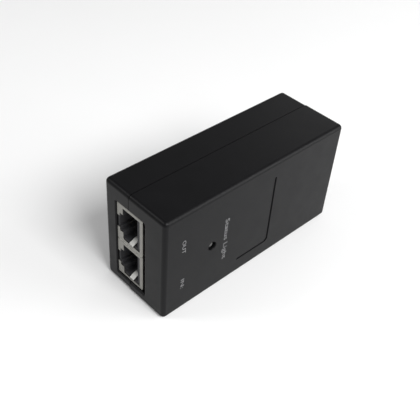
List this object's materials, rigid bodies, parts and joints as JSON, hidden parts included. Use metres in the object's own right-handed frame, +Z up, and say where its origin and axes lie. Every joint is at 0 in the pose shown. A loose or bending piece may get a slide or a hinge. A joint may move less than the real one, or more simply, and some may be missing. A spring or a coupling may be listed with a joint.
{
  "type": "poe injector",
  "caption": "Small rectangular power injector with paired shielded network jacks at one end and a mains inlet at the other.",
  "frame": {"origin": "middle of the long narrow side that the case stands on", "axes": "+Z up across the case's width, +Y towards the mains inlet, +X out of the printed face"},
  "size_m": [0.03, 0.085, 0.043],
  "materials": {
    "case_plastic": "satin black moulded plastic with a fine spark-eroded grain",
    "label_film": "satin dark grey adhesive film, blank",
    "screw_steel": "dark zinc-plated steel",
    "board": "green solder resist",
    "insulation": "matt fibre sheet",
    "light_lens": "water-clear diffused lens, unlit",
    "spacer_plastic": "natural nylon",
    "tinned_metal": "bright tin plate",
    "jack_plastic": "black glass-filled moulding",
    "jack_shield": "nickel-plated sheet, satin",
    "contact_gold": "gold-plated spring wire",
    "inlet_plastic": "black moulding",
    "boxed_capacitor": "yellow moulded box",
    "copper_winding": "enamelled copper wire",
    "component_black": "black epoxy moulding",
    "capacitor_sleeve": "shrink sleeve",
    "ceramic": "dipped ceramic disc",
    "heat_sink": "plain aluminium plate",
    "ferrite": "ground ferrite",
    "winding_tape": "yellow polyester tape"
  },
  "bodies": {
    "case": {"base_shell": "case_plastic", "top_cover": "case_plastic", "rating_label": "label_film", "case_screw_1": "screw_steel", "case_screw_2": "screw_steel", "case_screw_3": "screw_steel", "case_screw_4": "screw_steel", "main_board": "board", "insulating_sheet": "insulation", "indicator_light": "light_lens", "light_spacer": "spacer_plastic", "light_lead_1": "tinned_metal", "light_lead_2": "tinned_metal", "poe_jack_housing": "jack_plastic", "poe_jack_shield": "jack_shield", "poe_contact_carrier": "jack_plastic", "lan_jack_housing": "jack_plastic", "lan_jack_shield": "jack_shield", "lan_contact_carrier": "jack_plastic", "inlet_housing": "inlet_plastic", "line_pin": "tinned_metal", "earth_pin": "tinned_metal", "neutral_pin": "tinned_metal", "suppression_capacitor": "boxed_capacitor", "line_choke": "copper_winding", "fuse": "spacer_plastic", "bridge_rectifier": "component_black", "bulk_capacitor": "capacitor_sleeve", "safety_capacitor": "ceramic", "switch_heat_sink": "heat_sink", "switch_transistor": "component_black", "transformer_core": "ferrite", "transformer_bobbin": "component_black", "transformer_winding": "winding_tape", "output_capacitor_1": "capacitor_sleeve", "output_capacitor_2": "capacitor_sleeve", "output_diode": "component_black", "optocoupler": "component_black", "controller_chip": "component_black"},
    "poe_contacts": {"poe_contact_1": "contact_gold", "poe_contact_2": "contact_gold", "poe_contact_3": "contact_gold", "poe_contact_4": "contact_gold", "poe_contact_5": "contact_gold", "poe_contact_6": "contact_gold", "poe_contact_7": "contact_gold", "poe_contact_8": "contact_gold"},
    "lan_contacts": {"lan_contact_1": "contact_gold", "lan_contact_2": "contact_gold", "lan_contact_3": "contact_gold", "lan_contact_4": "contact_gold", "lan_contact_5": "contact_gold", "lan_contact_6": "contact_gold", "lan_contact_7": "contact_gold", "lan_contact_8": "contact_gold"}
  },
  "joints": [
    {"name": "poe_contact_flex", "type": "hinge", "parent": "case", "child": "poe_contacts", "pos_m": [0.00135, -0.0398, 0.0283], "axis": [0, 0, -1], "range_deg": [0, 8], "stiffness_Nm_per_rad": 0.5},
    {"name": "lan_contact_flex", "type": "hinge", "parent": "case", "child": "lan_contacts", "pos_m": [0.00135, -0.0398, 0.0123], "axis": [0, 0, -1], "range_deg": [0, 8], "stiffness_Nm_per_rad": 0.5}
  ]
}
